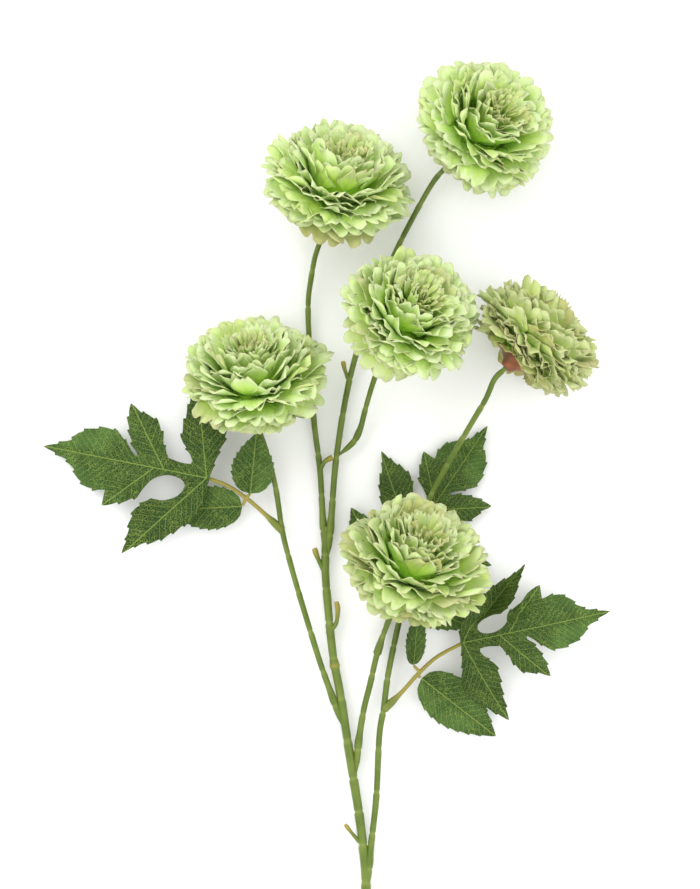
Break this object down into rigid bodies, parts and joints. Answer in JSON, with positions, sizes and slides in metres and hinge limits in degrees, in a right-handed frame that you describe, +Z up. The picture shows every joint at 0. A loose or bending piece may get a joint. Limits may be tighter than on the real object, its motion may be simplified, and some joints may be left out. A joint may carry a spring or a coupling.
{
  "type": "pompon chrysanthemum spray",
  "caption": "Spray of pompon chrysanthemum heads with scalloped petals and lobed compound leaves on a jointed, branching stem, lying on a table.",
  "frame": {"origin": "middle of the spray's bounding box, on the table under it", "axes": "+Y along the stem from its cut end to the blooms, +Z up from the table"},
  "size_m": [0.285, 0.4853, 0.082],
  "materials": {
    "petal": "matt pale green cloth, lighter to the edges",
    "stem": "satin olive green",
    "leaf": "satin dark green cloth with paler veins",
    "calyx": "matt reddish brown"
  },
  "bodies": {
    "root": {"stem": "stem", "bloom_upper_left": "petal", "bloom_top_right": "petal", "bloom_middle": "petal", "bloom_left": "petal", "bloom_right": "petal", "bloom_lower": "petal", "calyx_upper_left": "calyx", "calyx_top_right": "calyx", "calyx_middle": "calyx", "calyx_left": "calyx", "calyx_right": "calyx", "calyx_lower": "calyx", "leaf_left": "leaf", "leaf_right": "leaf", "leaf_hidden": "leaf", "leaflet_left_up": "leaf", "leaflet_left_down": "leaf", "leaflet_right_up": "leaf", "leaflet_right_down": "leaf", "leaflet_hidden_up": "leaf", "leaflet_hidden_down": "leaf"}
  },
  "joints": []
}
